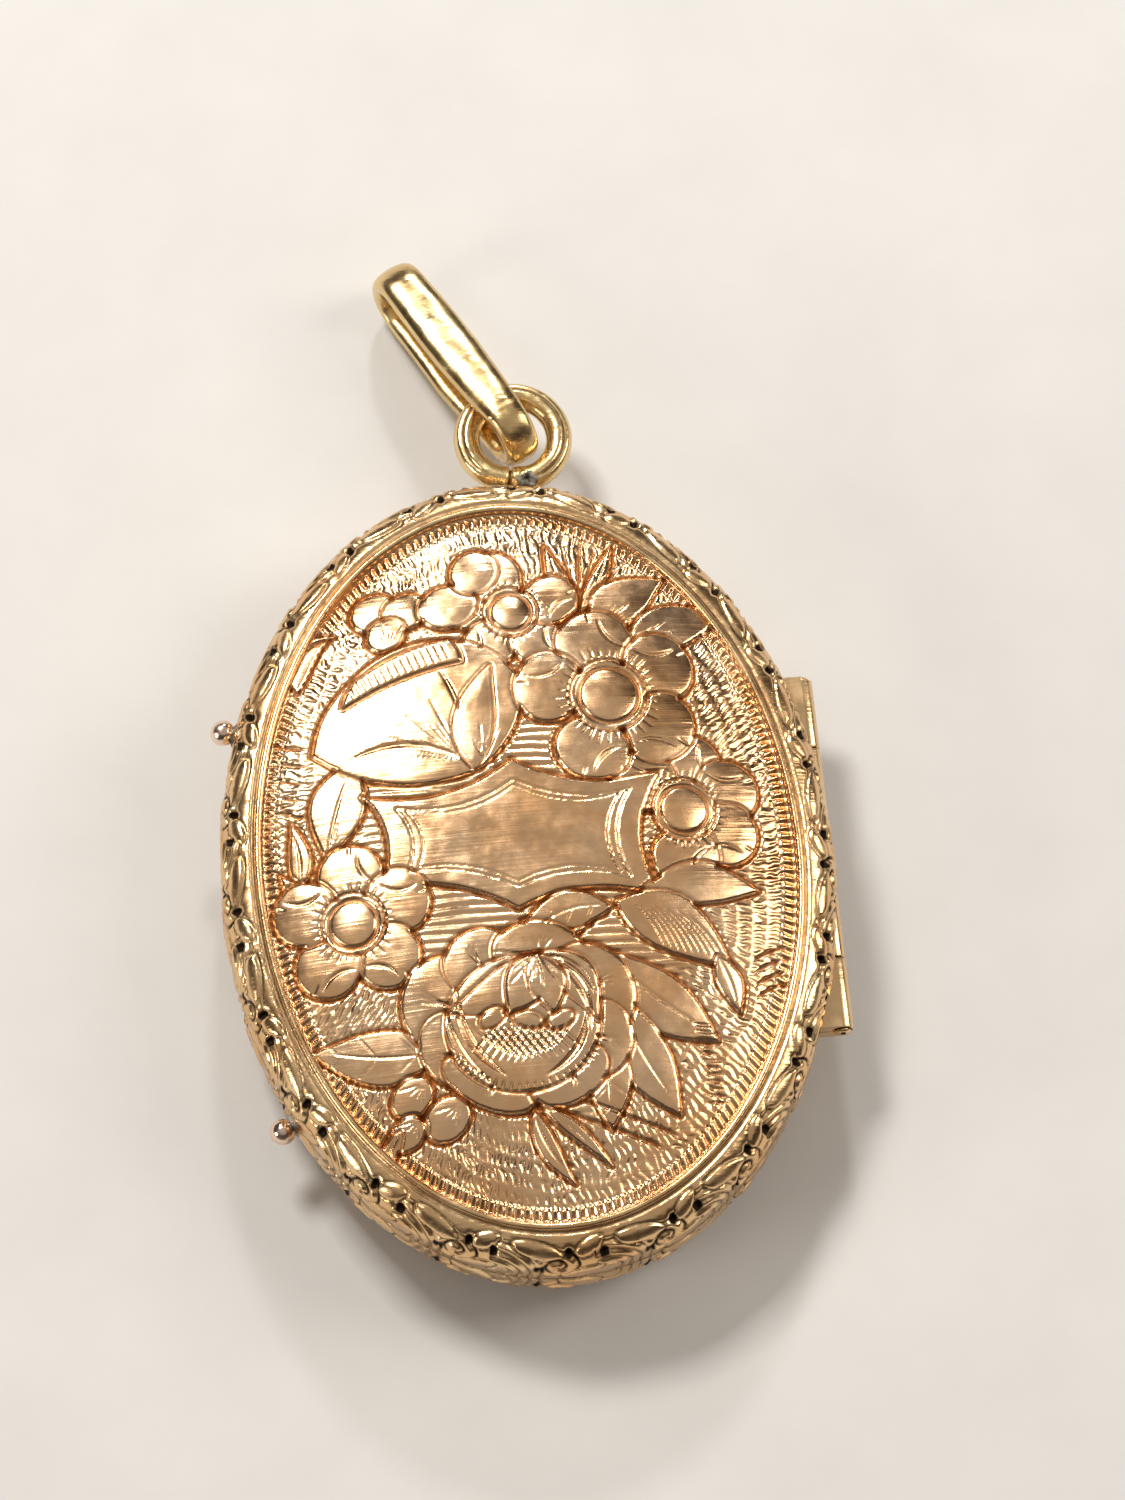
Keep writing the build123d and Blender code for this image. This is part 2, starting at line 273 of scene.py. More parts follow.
def engraved_ground(x, y, seed):
    """The worked ground: teeth at the edge, rows of short strokes, then ruled lines in the middle."""
    noise, broad = Noise(seed), Noise(seed + 1)
    inward, along = edge_coordinates(x, y)
    perimeter = ARC_LENGTH[-1]
    h = np.full_like(x, -0.09)
    # rows of short strokes that point inward and wander
    scaled = along + 0.16 * noise(x * 1.6, y * 1.6) + 0.10 * broad(x * 4.1, y * 4.1)
    strokes = np.round(perimeter / 0.36)
    row = (inward + 0.22 * noise(along * 0.9, inward * 0.6)) / 0.62
    shift = 0.37 * np.floor(row)
    turns = scaled * strokes / perimeter + shift + 0.35 * (row - np.floor(row))
    wave = 0.5 + 0.5 * np.cos(2 * math.pi * turns)
    window = np.sin(math.pi * (row - np.floor(row))) ** 0.6
    worked = (0.055 + 0.03 * broad(x * 0.8, y * 0.8)) * wave ** 1.6 * window
    # ruled lines between the motifs
    lines = 0.5 + 0.5 * np.cos(2 * math.pi * (y + 0.03 * x + 0.05 * noise(x * 0.7, y * 0.9)) / 0.36)
    ruled = 0.055 * lines ** 2
    middle = smooth(3.4, 4.6, inward)
    h -= worked * (1 - middle) + ruled * middle
    # the smooth margin and its teeth
    margin = smooth(0.62, 0.5, inward)
    h = h * (1 - margin) + (-0.02) * margin
    teeth = np.round(perimeter / 0.37)
    tooth = abs(((along * teeth / perimeter) % 1) - 0.5) * 2
    reach = smooth(0.06, 0.14, inward) * smooth(0.80, 0.55, inward)
    cut = np.clip(tooth - 0.15 - 0.45 * smooth(0.2, 0.75, inward), 0, 1) / 0.85
    h -= 0.13 * cut * reach
    h -= 0.08 * np.exp(-((inward - 0.06) / 0.06) ** 2)
    return h


def front_motifs(relief):
    """Flowers, leaves and a waisted panel, laid from the back to the front of the design."""
    # leaves and strokes at the top right
    relief.leaf(2.9, 10.2, 1.9, 13.4, 0.8, bow=0.1, ribs=3)
    relief.leaf(3.1, 10.3, 4.6, 13.2, 0.7, bow=-0.1, ribs=3)
    for x1, y1 in ((2.6, 13.4), (3.4, 13.8), (4.0, 13.2), (5.1, 12.4)):
        relief.cut(3.0, 10.6, x1, y1, 0.2, 0.12)
    relief.leaf(3.4, 9.4, 6.6, 11.6, 2.0, bow=0.25, vein=False)
    relief.fan(4.0, 9.6, math.radians(35), 0.9, 6, 0.2, 1.6)
    relief.leaf(4.7, 8.6, 8.9, 9.9, 2.0, bow=0.2, vein=False)
    relief.fan(5.2, 8.7, math.radians(20), 0.8, 8, 0.1, 1.7, 0.08)
    # trefoil and small curled leaf at the top left
    for px, py, r in ((-5.3, 11.0, 0.95), (-4.0, 10.9, 0.9), (-4.9, 9.9, 0.8)):
        relief.ellipse(px, py, r, r * 0.85, 0.5, 0.0, 0.10)
    relief.fan(-4.8, 9.3, math.radians(85), 1.0, 5, 0.2, 1.2)
    relief.leaf(-8.7, 7.9, -7.2, 10.1, 0.9, bow=0.45, pillow=-0.06, vein=False)
    relief.leaf(-9.2, 8.2, -7.0, 10.2, 0.5, bow=0.75)
    # strokes down the left
    for k in range(5):
        y = 5.4 - 0.75 * k
        relief.cut(-9.9, y + 0.5, -8.5, y, 0.2, 0.10, bow=-0.08)
    relief.leaf(-9.3, -0.6, -9.4, 2.3, 0.9, bow=-0.2)
    relief.leaf(-9.0, -1.6, -10.0, 0.2, 0.7)
    relief.leaf(-8.1, 0.4, -6.7, 4.6, 2.2, bow=0.15, fat=1.1)
    relief.fan(-8.0, 0.6, math.radians(60), 0.8, 5, 0.2, 1.6)
    # the flower at the top
    flower(relief, 0.2, 10.4, 0.90, 1.75, (165, 105, 235, 305, 15), 1.15, 1.05, 24)
    relief.ellipse(-2.3, 10.9, 1.15, 0.95, 0.3, 0.0, 0.12)
    relief.ellipse(-1.1, 12.4, 1.0, 0.9, 0.9, 0.0, 0.12)
    # the shell-like leaf at the upper left, with its ticked band
    shell = arc_points([(-2.0, 3.5), (-8.3, 5.0), (-6.5, 8.0), (-2.5, 9.4), (0.2, 7.6), (-0.6, 4.6)],
                       [0.9, 0.35, 0.5, 0.3, 0.35, 0.1])
    relief.polygon(shell[::-1], 0.02, 0.05, width=0.6)
    band = arc_points([(-6.9, 6.9), (-6.3, 8.0), (-2.4, 9.4), (-2.0, 8.4)], [0.1, 0.25, 0.1, -0.25])
    relief.polygon(band[::-1], 0.09, 0.04, width=0.3)
    for k in range(15):
        t = (k + 0.5) / 15
        x, y = -6.5 + 4.2 * t, 7.05 + 1.45 * t + 0.5 * t * (1 - t)
        relief.cut(x, y, x - 0.35, y + 0.95, 0.12, 0.07)
    relief.fan(-2.3, 4.0, math.radians(140), 1.0, 9, 0.2, 3.2, 0.10, 0.06)
    relief.cut(-2.1, 3.9, -6.8, 4.6, 0.3, 0.10, bow=-0.7)
    relief.cut(-2.3, 4.4, -3.0, 8.2, 0.22, 0.10, bow=-0.35)
    relief.leaf(-1.9, 3.7, -0.9, 8.0, 1.5, bow=0.3, vein=False)
    relief.fan(-1.5, 4.0, math.radians(85), 0.9, 6, 0.1, 1.5)
    # the large flower and the one at the right
    flower(relief, 6.3, 1.3, 1.08, 2.0, (78, 22, -35, -95, 140), 1.25, 1.30, 30)
    flower(relief, 3.8, 6.4, 1.32, 2.45, (98, 28, -38, -112, 168), 1.35, 1.50, 34)
    # the panel
    corners = [(-6.4, 2.9), (-0.4, 3.9), (5.4, 2.9), (5.0, -2.3), (-0.7, -2.4), (-6.0, -0.9)]
    bows = [-0.75, -0.65, -0.75, -0.6, -0.45, -0.55]
    relief.polygon(arc_points(corners, bows), 0.05, 0.03, width=0.2)
    middle = (-0.5, 0.7)
    for shrink, width in ((0.80, 0.10), (0.73, 0.07)):
        ring = [(middle[0] + (x - middle[0]) * shrink, middle[1] + (y - middle[1]) * (shrink - 0.08))
                for x, y in corners]
        outline = arc_points(ring, [b * 0.75 for b in bows], 6)
        for (ax, ay), (bx, by) in zip(outline, outline[1:] + outline[:1]):
            relief.cut(ax, ay, bx, by, width * 1.5, 0.07, blunt=0.15)
    # leaves at the right
    relief.leaf(3.6, -2.6, 9.0, -2.2, 1.7, bow=0.55, vein=False, fat=1.2)
    relief.leaf(3.2, -2.4, 7.6, -5.4, 2.3, bow=0.35, vein=False)
    for k in range(9):
        t = k / 8
        relief.cut(3.9 + 1.9 * t, -2.6 - 0.55 * t + 0.1, 5.0 + 2.2 * t, -4.6 - 0.35 * t, 0.12, 0.08, bow=0.15)
    # leaves below the panel
    relief.leaf(2.2, -3.0, -0.6, -2.9, 1.1, bow=0.25)
    relief.leaf(3.0, -2.6, -0.9, -3.6, 1.5, bow=-0.45, ribs=4)
    # the flower at the left
    flower(relief, -7.3, -2.3, 1.05, 2.0, (88, 20, -50, -125, 160), 1.25, 1.30, 28)
    # leaves at the lower right
    relief.leaf(2.4, -4.3, 6.7, -8.3, 2.3, bow=-0.25, fat=1.1)
    relief.leaf(2.6, -5.9, 4.9, -11.2, 2.1, bow=-0.2, fat=1.1)
    relief.leaf(1.9, -7.2, 2.1, -11.6, 1.7, bow=0.2, fat=1.1, ribs=4)
    relief.leaf(7.0, -4.9, 7.7, -7.2, 1.0, bow=0.1)
    for k in range(12):
        relief.cut(5.7 + 0.04 * k, -7.6 - 0.28 * k, 6.5 + 0.03 * k, -7.7 - 0.28 * k, 0.14, 0.09)
    for k in range(4):
        relief.cut(8.4, -5.1 - 0.5 * k, 9.9, -4.5 - 0.5 * k, 0.28, 0.10, bow=0.1)
    # leaves at the lower left and the bottom
    relief.leaf(-4.4, -7.9, -9.4, -7.3, 2.2, bow=0.25, ribs=3)
    for px, py, r in ((-5.6, -9.6, 0.9), (-4.3, -10.6, 1.0), (-5.9, -11.0, 0.75)):
        relief.ellipse(px, py, r, r * 0.8, 0.7, 0.0, 0.10)
        relief.fan(px + 0.5, py + 0.5, math.radians(225), 1.2, 4, 0.1, 1.1)
    relief.leaf(-6.2, -10.9, -7.0, -13.0, 0.6, bow=-0.2, pillow=-0.06)
    relief.leaf(-0.9, -10.6, 0.5, -13.6, 0.75, bow=-0.25, pillow=-0.08)
    relief.leaf(-0.6, -10.4, 2.0, -13.0, 0.6, bow=0.1)
    for k in range(16):
        t = k / 15
        x, y = -0.4 + 3.9 * t, -10.3 - 1.7 * t
        relief.cut(x, y, x + 0.75, y - 0.55, 0.17, 0.09)
        relief.cut(x + 0.5, y + 0.45, x + 1.25, y + 0.0, 0.15, 0.08)
    rose(relief)


def rose(relief):
    """The full-blown rose in the lower middle."""
    cx, cy = -0.9, -6.9
    petals = ((160, 3.3, 1.7, 1.9), (118, 3.3, 1.3, 1.4), (72, 3.0, 1.4, 1.9), (22, 3.0, 1.6, 1.9),
              (-24, 3.1, 1.3, 1.5), (-158, 3.2, 1.2, 1.5), (-118, 3.3, 1.0, 1.9), (-62, 3.3, 1.0, 1.6))
    for heading, reach, along, across in petals:
        angle = math.radians(heading)
        px, py = cx + math.cos(angle) * reach, cy + math.sin(angle) * reach * 0.85
        relief.ellipse(px, py, along, across, angle, 0.01, 0.10)
        for spread in (-0.5, 0.0, 0.5):
            turned = angle + spread * 0.5
            relief.cut(px - math.cos(turned) * along * 0.3, py - math.sin(turned) * along * 0.3,
                       px + math.cos(turned) * along * 0.6, py + math.sin(turned) * along * 0.6,
                       0.14, 0.06, bow=0.1)
    # the bowl, with petals folded down from one point at its top
    relief.ellipse(cx - 0.1, cy - 0.2, 3.0, 2.7, 0.1, 0.06, 0.10)
    top_x, top_y = cx + 0.7, cy + 2.5
    relief.leaf(top_x, top_y, cx - 2.9, cy + 0.5, 1.5, bow=0.45, level=0.10, vein=False)
    relief.leaf(top_x, top_y, cx + 2.9, cy - 0.3, 1.5, bow=0.55, level=0.10, vein=False)
    relief.leaf(top_x, top_y, cx - 0.6, cy + 0.2, 1.6, bow=0.1, level=0.15, vein=False)
    relief.leaf(top_x, top_y, cx + 1.2, cy + 0.1, 1.4, bow=0.1, level=0.15, vein=False)
    relief.fan(top_x, top_y, math.radians(190), 0.7, 6, 0.1, 1.9, 0.14, 0.09)
    relief.fan(top_x, top_y, math.radians(250), 0.9, 7, 0.1, 1.6, 0.12, 0.08)
    relief.fan(top_x, top_y, math.radians(-35), 0.8, 6, 0.1, 1.8, 0.14, 0.09)
    relief.cut(top_x, top_y, cx + 2.5, cy - 0.9, 0.42, 0.17, bow=0.75, lean=0.3)
    relief.cut(top_x + 0.3, top_y, cx + 2.9, cy + 0.6, 0.30, 0.13, bow=0.4, lean=0.3)
    relief.cut(cx - 2.6, cy + 1.3, cx - 0.9, cy - 2.3, 0.40, 0.17, bow=-0.55, lean=0.3)
    relief.cut(cx - 3.1, cy + 0.9, cx - 1.4, cy - 2.6, 0.26, 0.12, bow=-0.45)
    relief.cut(cx + 2.5, cy + 0.2, cx + 0.6, cy - 2.4, 0.36, 0.16, bow=0.5, lean=-0.3)
    # cross-hatching in the lower half of the bowl
    for k in range(11):
        offset = -1.6 + 0.31 * k
        reach = 1.5 * math.sqrt(max(0.15, 1 - (offset / 2.1) ** 2))
        relief.cut(cx + offset - 0.6, cy - 0.3 - reach, cx + offset + 0.5, cy - 0.2, 0.15, 0.10)
        relief.cut(cx + offset + 0.6, cy - 0.3 - reach, cx + offset - 0.5, cy - 0.2, 0.15, 0.10)
    relief.ellipse(cx - 1.3, cy + 0.1, 0.45, 0.28, 0.5, 0.10, 0.1)
    relief.ellipse(cx + 0.1, cy - 0.1, 0.5, 0.26, -0.3, 0.10, 0.1)
    relief.ellipse(cx + 1.4, cy - 0.2, 0.45, 0.26, 0.4, 0.10, 0.1)
    for k in range(22):
        angle = math.radians(-150 + 120 * k / 21)
        c, s = math.cos(angle), math.sin(angle)
        relief.cut(cx + c * 3.0, cy + s * 2.55, cx + c * 3.45, cy + s * 2.98, 0.12, 0.09)


def back_motifs(relief):
    """A plain waisted panel between two sprays of leaves."""
    for side in (1, -1):
        for lift in (1, -1):
            relief.leaf(0, 4.2 * lift, 5.4 * side, 8.2 * lift, 1.7, bow=0.5 * side * lift, ribs=4)
            relief.leaf(0, 5.0 * lift, 2.7 * side, 11.2 * lift, 1.4, bow=0.4 * side * lift, ribs=4)
            relief.leaf(0, 3.9 * lift, 7.6 * side, 4.7 * lift, 1.3, bow=0.3 * side * lift, ribs=3)
    for lift in (1, -1):
        flower(relief, 0, 6.0 * lift, 0.95, 1.75, (90, 18, -54, -126, 162), 1.1, 1.1, 26)
        relief.leaf(0, 8.6 * lift, 0, 12.9 * lift, 1.4, ribs=5)
    corners = [(-7.4, 2.6), (0, 3.4), (7.4, 2.6), (7.4, -2.6), (0, -3.4), (-7.4, -2.6)]
    bows = [-0.6, -0.6, -0.7, -0.6, -0.6, -0.7]
    relief.polygon(arc_points(corners, bows), 0.05, 0.02, width=0.2)
    ring = [(x * 0.88, y * 0.80) for x, y in corners]
    outline = arc_points(ring, [b * 0.8 for b in bows], 6)
    for (ax, ay), (bx, by) in zip(outline, outline[1:] + outline[:1]):
        relief.cut(ax, ay, bx, by, 0.15, 0.07, blunt=0.15)


def dome_piece(name, side, motifs, seed, body, node, material, columns, rows):
    """A domed cover, cut all over. side is 1 for the front and -1 for the back."""
    u, v = np.meshgrid(np.linspace(-1, 1, columns), np.linspace(-1, 1, rows), indexing="xy")
    x = DOME_A * u * np.sqrt(1 - v * v / 2)
    y = DOME_B * v * np.sqrt(1 - u * u / 2)
    x, y = x.ravel(), y.ravel()
    share = np.clip(np.hypot(x / DOME_A, y / DOME_B), 0, 1)
    relief = Relief(x, y, engraved_ground(x, y, seed))
    motifs(relief)
    dents = Noise(seed + 7)
    relief.h += 0.012 * dents(x * 0.5, y * 0.5) + 0.004 * dents(x * 3, y * 3)
    relief.h *= smooth(1.0, 0.993, share)
    z = DOME_EDGE + (DOME_CROWN - DOME_EDGE) * (1 - share ** DOME_POWER) + relief.h
    if side < 0:
        z = np.minimum(z, REST)
    # the cuts are darkened with grime and painted shade, with more painted shade the deeper the relief sinks
    cavity = np.clip(relief.grime_and_shade + np.clip(-relief.h - 0.10, 0, 1) * 5, 0, 1)
    top = np.stack([x, y, z * side], -1)
    rim = np.concatenate([np.arange(columns), np.arange(1, rows) * columns + columns - 1,
                          (rows - 1) * columns + np.arange(columns - 2, -1, -1),
                          np.arange(rows - 2, 0, -1) * columns])
    low = top[rim].copy()
    low[:, 2] = DOME_LEDGE * side
    base = len(top) + np.arange(len(rim))
    skirt = np.stack([rim, base, np.roll(base, -1), np.roll(rim, -1)], -1)
    faces = grid_faces(rows, columns, flip=side < 0).tolist()
    faces += (skirt[:, ::-1] if side < 0 else skirt).tolist()
    bottom = base[::-1] if side > 0 else base
    faces.append(bottom.tolist())
    # painted shade at half strength on the skirt's foot, where it meets the rim
    levels = np.concatenate([cavity, np.full(len(rim), 0.5)])
    return add_mesh(name, np.concatenate([top, low]), faces, body, (node,), material, cavity=levels)


# ---- The chased rims -------------------------------------------------------------------------------
def rim_piece(name, side, seed, bore, body, node, material, columns=1500):
    """A rim: the chased wall and shoulder outside, the plain wire on the crest, and plain steps inside."""
    wall = [(0.0, 0.03 + 0.92 * t) for t in np.linspace(0, 1, 11)]
    shoulder = [(1.32 * (1 - math.cos(a)), 0.95 + 1.35 * math.sin(a))
                for a in np.linspace(0, math.pi / 2, 34)[1:]]
    wire = [(1.47 - 0.15 * math.cos(a), 2.30 + 0.13 * math.sin(a)) for a in np.linspace(0, math.pi, 9)[1:]]
    outer = np.array(wall + shoulder + wire)
    inner = np.array([(1.62, 2.02), (2.12, 2.00), (2.12, 1.72), (1.32, 1.70),
                      (1.32, 0.97), (bore, 0.95), (bore, 0.03)])
    profile = np.concatenate([outer, inner])
    tangent = np.gradient(outer, axis=0)
    tangent /= np.linalg.norm(tangent, axis=1)[:, None]
    steps = np.hypot(*np.diff(outer, axis=0).T)
    across = np.concatenate([[0], np.cumsum(steps)])
    band = across[len(wall) + len(shoulder) - 1]

    dense = np.linspace(0, 2 * math.pi, 4001)
    steps_x, steps_y = np.diff(HALF_WIDTH * np.cos(dense)), np.diff(HALF_HEIGHT * np.sin(dense))
    arc = np.concatenate([[0], np.cumsum(np.hypot(steps_x, steps_y))])
    # columns evenly spaced along the outline, with one set on each end of the hinge
    phi = np.interp(np.arange(columns) / columns * arc[-1], arc, dense)
    for end in (-1, 1):
        at = math.asin(end * HINGE_HALF / HALF_HEIGHT) % (2 * math.pi)
        nearest = int(np.argmin(abs(phi - at)))
        phi[nearest] = at
    along = np.interp(phi, dense, arc)

    s, t = np.meshgrid(along, across / band, indexing="ij")
    h, grime_and_shade = chased_band(s, t, arc[-1], band, seed)
    h = h * smooth(1.02, 0.97, t) * smooth(0.0, 0.04, t)
    inset = np.repeat(profile[None, :, 0], columns, 0)
    level = np.repeat(profile[None, :, 1], columns, 0)
    count = len(outer)
    # push along the outward normal of the section
    inset[:, :count] += h * -tangent[None, :, 1]
    level[:, :count] += h * tangent[None, :, 0]
    phi_grid = np.repeat(phi[:, None], len(profile), 1)
    x = (HALF_WIDTH - inset) * np.cos(phi_grid)
    y = (HALF_HEIGHT - inset) * np.sin(phi_grid)
    at_hinge = (x > BEARER_INNER_X) & (abs(HALF_HEIGHT * np.sin(phi_grid)) < HINGE_HALF - 1e-3)
    level = np.where(at_hinge, np.maximum(level, BEARER_TOP), level)
    verts = np.stack([x, y, level * side], -1).reshape(-1, 3)
    faces = grid_faces(columns, len(profile), True, True, flip=side > 0)
    cavity = np.full((columns, len(profile)), 0.15)
    cavity[:, :count] = grime_and_shade
    return add_mesh(name, verts, faces, body, (node,), material, cavity=cavity)


def chased_band(s, t, perimeter, band, seed):
    """Scrolls and gadroons along a rim. s runs round it in millimetres and t crosses it from 0 to 1."""
    noise = Noise(seed)
    repeats = round(perimeter / 4.4)
    length = perimeter / repeats
    cell = (s / length) % 1
    number = np.floor(s / length)
    w = t * band
    u = cell * length
    h = np.zeros_like(s)
    # the second value darkens the valleys of the ribs and the coil, the leaf edges, the pits and the lines
    # with grime and painted shade
    grime_and_shade = np.full_like(s, 0.12)
    jitter = 0.12 * np.sin(number * 2.4)
    # curved gadroons fanning over the first half of each repeat
    fan_r = np.hypot(u - 0.35 - jitter, (w - 0.55))
    fan_a = np.arctan2(w - 0.55, u - 0.35 - jitter)
    ribs = np.cos(2 * math.pi * (fan_r / 0.42 + 0.15 * fan_a))
    fan = smooth(2.15, 1.95, fan_r) * smooth(0.45, 0.60, fan_r)
    h += fan * (0.055 * ribs - 0.01)
    grime_and_shade = np.maximum(grime_and_shade, fan * np.clip(-ribs, 0, 1) * 0.75)
    # a scroll: a coil of wire ending in a boss
    sx, sy = u - 2.95 - jitter, w - 1.35
    sr, sa = np.hypot(sx, sy * 1.15), np.arctan2(sy, sx)
    coil = np.cos(2 * math.pi * (sr / 0.55 - sa / (2 * math.pi)))
    scroll = smooth(1.05, 0.9, sr)
    h = h * (1 - scroll) + scroll * (0.07 * coil + 0.02)
    grime_and_shade = grime_and_shade * (1 - scroll) + scroll * np.clip(-coil, 0, 1) * 0.95
    # a smooth leaf below it and a plain one above
    leaves = ((3.75, 0.62, 0.85, 0.42, 0.45), (1.9, 2.15, 0.95, 0.33, -0.2), (4.1, 2.25, 0.6, 0.3, 0.5))
    for lx, ly, ra, rb, lean in leaves:
        px, py = u - lx, w - ly
        px = (px + length / 2) % length - length / 2
        c, sn = math.cos(lean), math.sin(lean)
        d = np.hypot((px * c + py * sn) / ra, (-px * sn + py * c) / rb)
        inside = smooth(1.12, 0.95, d)
        h = h * (1 - inside) + inside * (0.085 * np.sqrt(np.clip(1 - d * d * 0.8, 0, 1)))
        edge = np.exp(-((d - 1.2) / 0.12) ** 2)
        h -= 0.05 * edge
        grime_and_shade = np.maximum(grime_and_shade * (1 - inside), 0.8 * edge)
    # small deep pits where the chaser's punch sank in, darkened strongly with grime and painted shade
    for lx, ly, size in ((2.15, 1.05, 0.20), (3.35, 2.05, 0.16), (0.25, 1.85, 0.19)):
        px = (u - lx - jitter + length / 2) % length - length / 2
        pit = np.exp(-((px / size) ** 2 + ((w - ly) / (size * 1.5)) ** 2))
        h -= 0.20 * pit
        grime_and_shade = np.maximum(grime_and_shade, np.clip(pit * 2.2, 0, 1.2))
    # a thin line at the foot and one below the wire on the crest
    for at, depth in ((0.14, 0.04), (band - 0.10, 0.08)):
        line = np.exp(-((w - at) / 0.07) ** 2)
        h -= depth * line
        grime_and_shade = np.maximum(grime_and_shade, 0.8 * line)
    h += 0.012 * noise(s * 1.3, w * 1.3) + 0.006 * noise(s * 5.1, w * 5.1)
    return h, grime_and_shade


# ---- Materials -------------------------------------------------------------------------------------
def new_material(name):
    material = bpy.data.materials.new(name)
    material.use_nodes = True
    nodes, links = material.node_tree.nodes, material.node_tree.links
    shader = nodes["Principled BSDF"]
    return material, nodes, links, shader


def noise_node(nodes, links, coordinates, scale, detail=6.0, roughness=0.6):
    node = nodes.new("ShaderNodeTexNoise")
    node.inputs["Scale"].default_value = scale
    node.inputs["Detail"].default_value = detail
    node.inputs["Roughness"].default_value = roughness
    links.new(coordinates, node.inputs["Vector"])
    return node.outputs["Fac"]


def ramp_node(nodes, links, value, *stops):
    node = nodes.new("ShaderNodeValToRGB")
    while len(node.color_ramp.elements) < len(stops):
        node.color_ramp.elements.new(0.5)
    for element, (position, color) in zip(node.color_ramp.elements, stops):
        element.position = position
        element.color = (*color, 1) if len(color) == 3 else color
    links.new(value, node.inputs["Fac"])
    return node.outputs["Color"]


def mix_color(nodes, links, factor, first, second):
    node = nodes.new("ShaderNodeMix")
    node.data_type = "RGBA"
    sockets = [node.inputs[0], node.inputs[6], node.inputs[7]]
    for socket, value in zip(sockets, (factor, first, second)):
        if isinstance(value, bpy.types.NodeSocket):
            links.new(value, socket)
        else:
            socket.default_value = value if isinstance(value, float) else (*value, 1)
    return node.outputs[2]


def math_node(nodes, links, operation, *values):
    node = nodes.new("ShaderNodeMath")
    node.operation = operation
    for socket, value in zip(node.inputs, values):
        if isinstance(value, bpy.types.NodeSocket):
            links.new(value, socket)
        else:
            socket.default_value = value
    return node.outputs[0]


def gold(name, bright, warm, dark, roughness=0.2, wear=1.0, carved=False, scratch=1.0):
    """Worn gold alloy. Carved pieces carry a value of grime and painted shade, which darkens their cuts."""
    material, nodes, links, shader = new_material(name)
    place = nodes.new("ShaderNodeTexCoord").outputs["Object"]
    patches = noise_node(nodes, links, place, 260.0, 5.0)
    fine = noise_node(nodes, links, place, 2600.0, 4.0, 0.7)
    body = ramp_node(nodes, links, patches, (0.35, warm), (0.62, bright))
    # carved pieces darken their cuts with grime and painted shade; plain pieces get darkened specks of dirt
    if carved:
        cavity = nodes.new("ShaderNodeAttribute")
        cavity.attribute_name = "cavity"
        uneven = math_node(nodes, links, "MULTIPLY_ADD", fine, 0.7, -0.35)
        depth = math_node(nodes, links, "ADD", cavity.outputs["Fac"], uneven)
        grime_and_shade = ramp_node(nodes, links, depth, (0.35, (0, 0, 0)), (0.90, (1, 1, 1)))
    else:
        grime_and_shade = ramp_node(nodes, links, fine, (0.66, (0, 0, 0)), (0.90, (0.6, 0.6, 0.6)))
    shade = mix_color(nodes, links, grime_and_shade, body, dark)
    links.new(shade, shader.inputs["Base Color"])
    shader.inputs["Metallic"].default_value = 1.0
    smudge = noise_node(nodes, links, place, 700.0, 8.0, 0.65)
    spread = nodes.new("ShaderNodeMapRange")
    spread.inputs["From Min"].default_value = 0.3
    spread.inputs["From Max"].default_value = 0.7
    spread.inputs["To Min"].default_value = roughness * 0.7
    spread.inputs["To Max"].default_value = roughness * (1 + 0.9 * wear)
    links.new(smudge, spread.inputs["Value"])
    dull = math_node(nodes, links, "MULTIPLY_ADD", grime_and_shade, 0.35, spread.outputs["Result"])
    links.new(dull, shader.inputs["Roughness"])
    # hairline scratches in two directions over soft dents
    heights = []
    for turn, scale in ((0.6, 1.0), (2.1, 0.8)):
        mapping = nodes.new("ShaderNodeMapping")
        mapping.inputs["Rotation"].default_value = (0.0, 0.0, turn)
        mapping.inputs["Scale"].default_value = (220.0, 6500.0, 220.0)
        links.new(place, mapping.inputs["Vector"])
        lines = noise_node(nodes, links, mapping.outputs["Vector"], scale, 3.0, 0.6)
        heights.append(math_node(nodes, links, "POWER", lines, 3.0))
    scratches = math_node(nodes, links, "ADD", *heights)
    total = math_node(nodes, links, "MULTIPLY_ADD", fine, 0.25, scratches)
    bump = nodes.new("ShaderNodeBump")
    bump.inputs["Strength"].default_value = 0.22 * scratch
    bump.inputs["Distance"].default_value = 0.00006
    links.new(total, bump.inputs["Height"])
    links.new(bump.outputs["Normal"], shader.inputs["Normal"])
    return material


ROSE = gold("rose_gold_cut", (0.90, 0.61, 0.37), (0.87, 0.50, 0.24), (0.30, 0.11, 0.03), 0.18, carved=True)
# the chased rim's dark colour, near black, is the grime and painted shade in its hollows
ROSE_RIM = gold("rose_gold_chased", (0.86, 0.61, 0.34), (0.78, 0.47, 0.22), (0.025, 0.016, 0.01), 0.19,
                carved=True)
INNER = gold("gold_inside", (0.89, 0.63, 0.37), (0.84, 0.55, 0.29), (0.35, 0.2, 0.1), 0.28, scratch=2.0)
HINGE = gold("gold_hinge", (0.85, 0.61, 0.34), (0.74, 0.48, 0.25), (0.15, 0.08, 0.04), 0.22)
YELLOW = gold("gold_bail", (0.85, 0.66, 0.34), (0.72, 0.48, 0.22), (0.14, 0.06, 0.02), 0.19, carved=True)
BEAD = gold("gold_bead", (0.92, 0.74, 0.62), (0.86, 0.62, 0.48), (0.2, 0.1, 0.06), 0.18)


